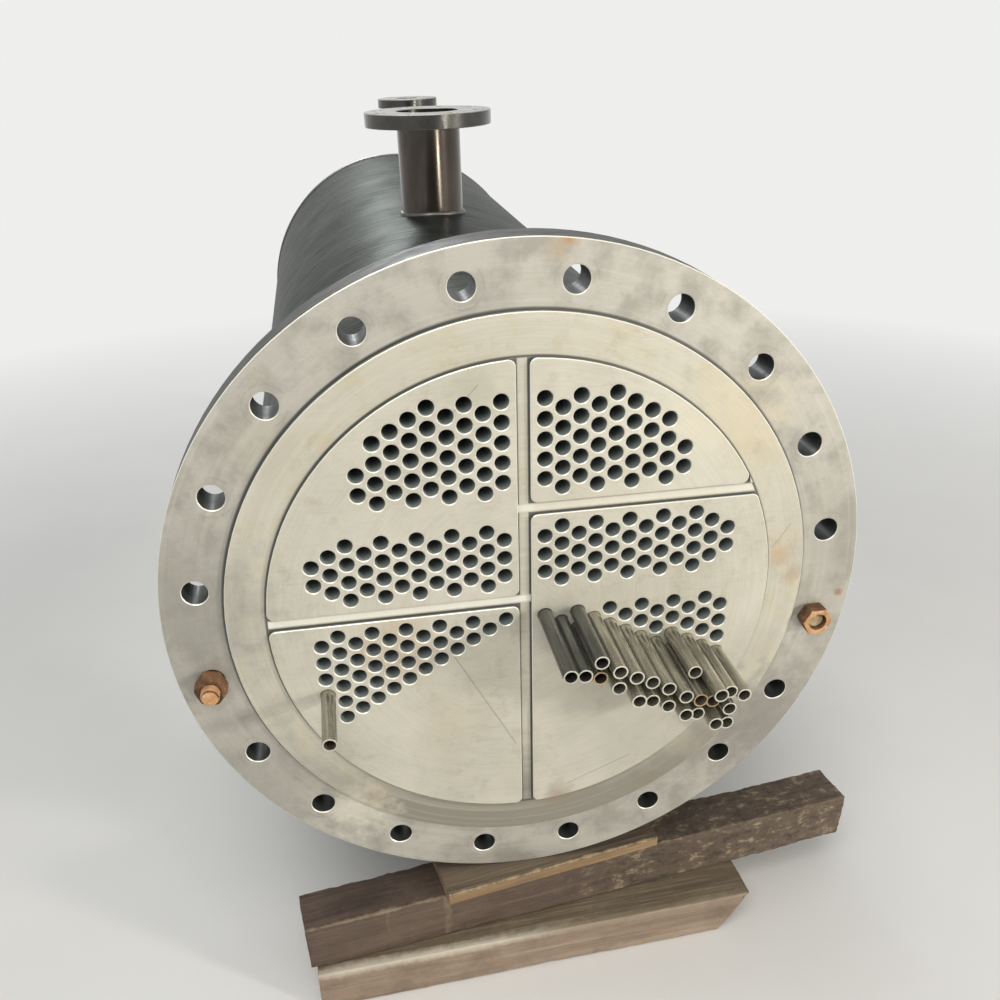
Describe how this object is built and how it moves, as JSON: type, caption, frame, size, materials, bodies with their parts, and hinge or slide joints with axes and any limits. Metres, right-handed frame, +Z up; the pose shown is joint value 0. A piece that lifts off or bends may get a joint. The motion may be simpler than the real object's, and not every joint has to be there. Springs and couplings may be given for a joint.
{
  "type": "shell and tube heat exchanger",
  "caption": "Shell and tube heat exchanger on timbers, both channels off: drilled tubesheets, flanged shell with nozzles, and a group of tubes part way in.",
  "frame": {"origin": "on the ground under the middle of the front tubesheet's bolting ring", "axes": "+Z up, +Y back along the shell, +X to the right seen from the front tubesheet"},
  "size_m": [1.0097, 2.1435, 1.16],
  "materials": {
    "machined_steel": "turned",
    "shell_steel": "scuffed",
    "pipe_steel": "satin",
    "flange_steel": "turned",
    "baffle_steel": "dull",
    "tube_steel": "drawn",
    "rusty_steel": "rusted",
    "pale_timber": "sawn",
    "dark_timber": "weathered",
    "board_timber": "sawn"
  },
  "bodies": {
    "root": {"front_tubesheet": "machined_steel", "rear_tubesheet": "machined_steel", "shell_top": "shell_steel", "shell_right": "shell_steel", "shell_bottom": "shell_steel", "shell_left": "shell_steel", "inlet_neck": "pipe_steel", "inlet_flange": "flange_steel", "outlet_neck": "pipe_steel", "outlet_flange": "flange_steel", "vent_neck": "pipe_steel", "vent_flange": "flange_steel", "baffle_1": "baffle_steel", "baffle_2": "baffle_steel", "baffle_3": "baffle_steel", "baffle_4": "baffle_steel", "baffle_5": "baffle_steel", "tie_rods": "baffle_steel", "right_tubes": "tube_steel", "left_tube": "tube_steel", "left_stud": "rusty_steel", "left_nuts": "rusty_steel", "right_stud": "rusty_steel", "right_nuts": "rusty_steel", "front_sleeper": "pale_timber", "front_beam": "dark_timber", "front_board": "board_timber", "rear_sleeper": "pale_timber", "rear_beam": "dark_timber", "rear_board": "board_timber"}
  },
  "joints": []
}
